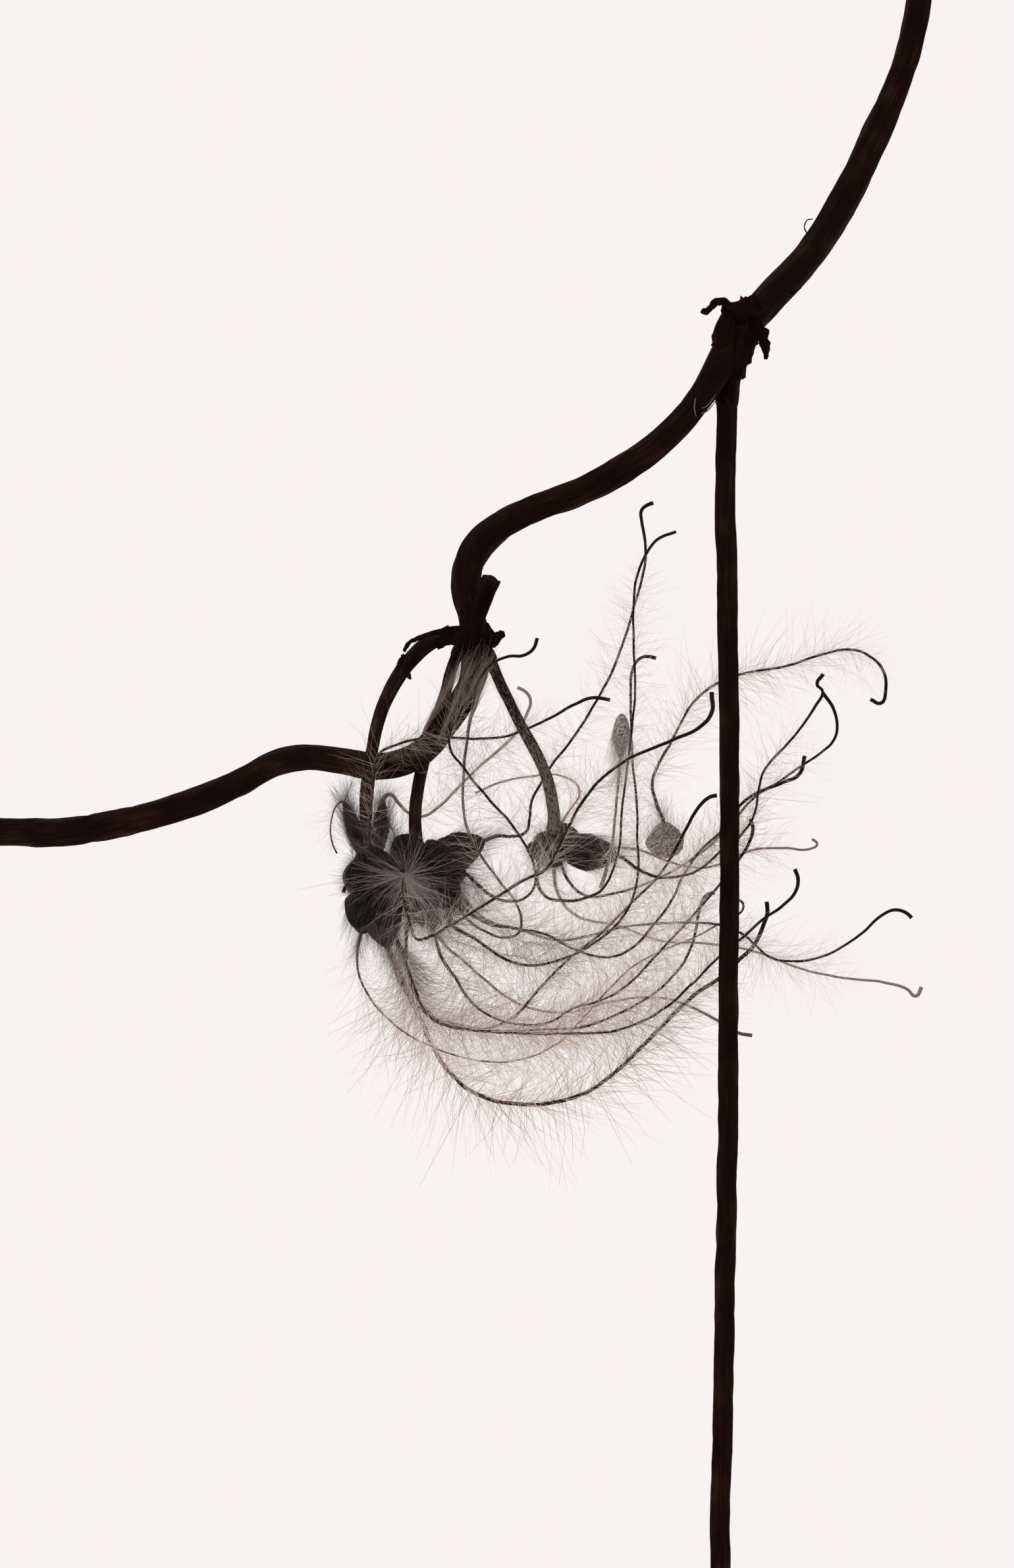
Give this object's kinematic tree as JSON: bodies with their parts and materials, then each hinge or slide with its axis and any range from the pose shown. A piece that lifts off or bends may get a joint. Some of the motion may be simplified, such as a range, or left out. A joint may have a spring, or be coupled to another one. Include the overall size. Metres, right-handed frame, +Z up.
{
  "type": "dried clematis seed head",
  "caption": "Cut sprig of woody clematis vine with dried seed heads, whose flat seeds carry long curled feathery styles; lies flat as a dried botanical decoration.",
  "frame": {"origin": "middle of the sprig's outline, on the surface it lies on", "axes": "+Y along the sprig towards the vine's upper cut end, +X to the right seen from above, +Z up from the surface"},
  "size_m": [0.0726, 0.1223, 0.0223],
  "materials": {
    "vine_bark": "dry, ribbed and fibrous",
    "flower_stalk": "dry and dull, slightly hairy",
    "seed_and_style": "dry, streaked and hairy"
  },
  "bodies": {
    "root": {"vine": "vine_bark", "side_shoot": "vine_bark", "flower_stalk_left": "flower_stalk", "flower_stalk_middle": "flower_stalk", "flower_stalk_right": "flower_stalk", "seed_head_left": "seed_and_style", "seed_head_middle": "seed_and_style", "seed_head_right": "seed_and_style"}
  },
  "joints": []
}
